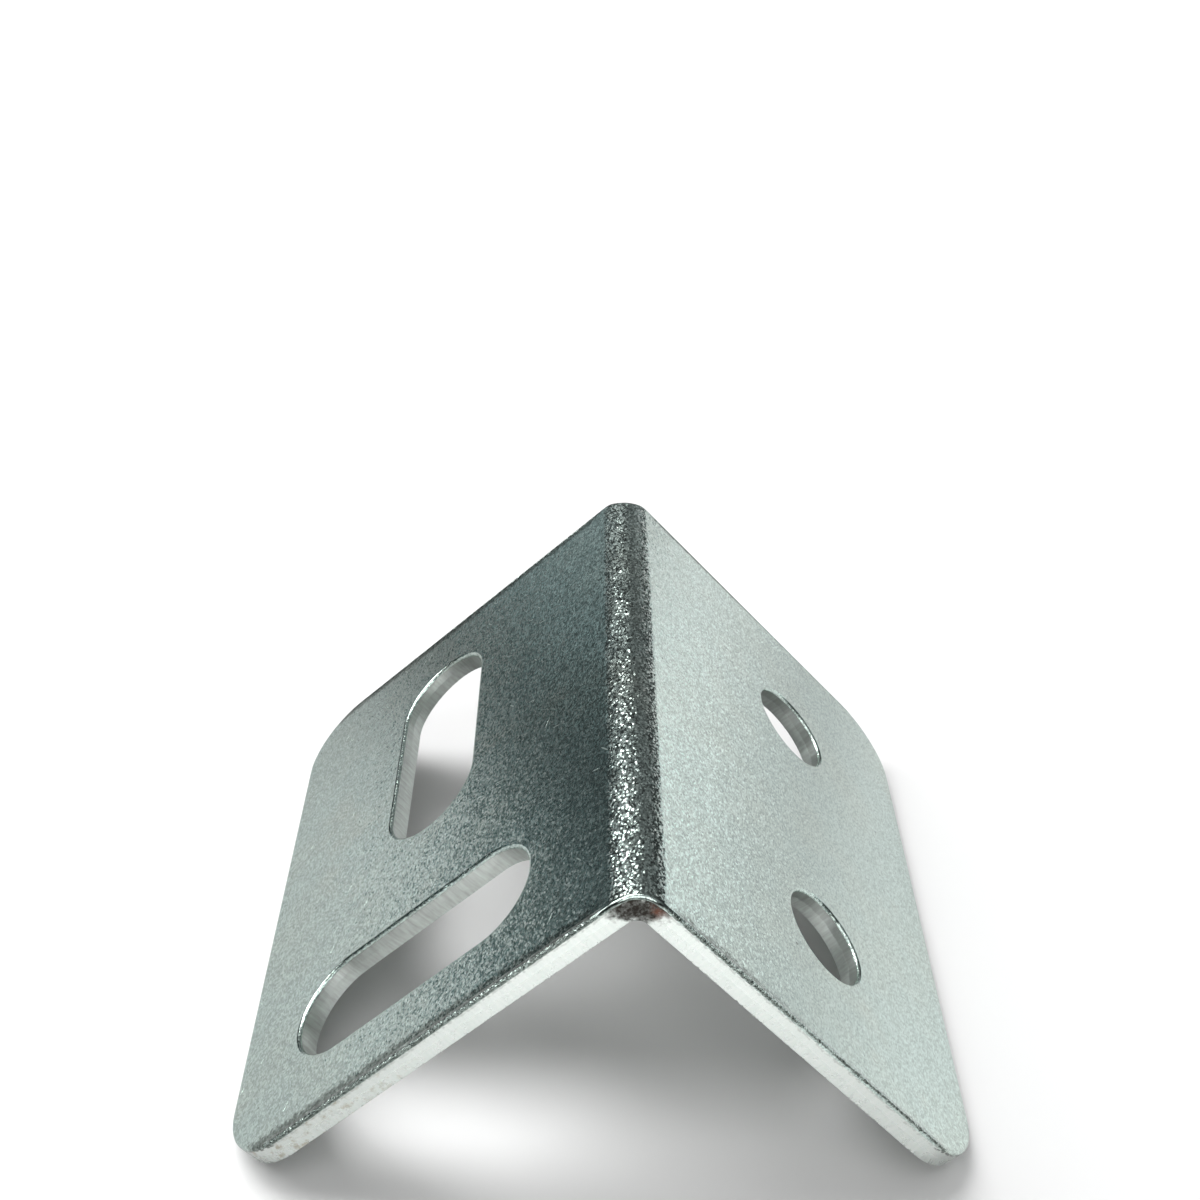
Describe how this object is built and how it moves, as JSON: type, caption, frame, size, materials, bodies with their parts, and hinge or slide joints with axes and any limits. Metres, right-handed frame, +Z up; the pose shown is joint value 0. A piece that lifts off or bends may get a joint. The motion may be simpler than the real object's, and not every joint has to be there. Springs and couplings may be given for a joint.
{
  "type": "stretcher bracket",
  "caption": "Folded sheet-steel angle bracket with a slotted leg and a leg with plain screw holes, for joining timber that must be free to move.",
  "frame": {"origin": "on the floor, below the middle of the box that holds the bracket, as it stands on the free edges of its two legs", "axes": "+Z up, towards the fold; +Y along the fold, from the end with the slot across the fold to the end with the slot along it; +X towards the leg with the round holes"},
  "size_m": [0.0378, 0.038, 0.019],
  "materials": {
    "zinc_plated_steel": "bright zinc plating with a fine matt grain"
  },
  "bodies": {
    "root": {"bracket": "zinc_plated_steel"}
  },
  "joints": []
}
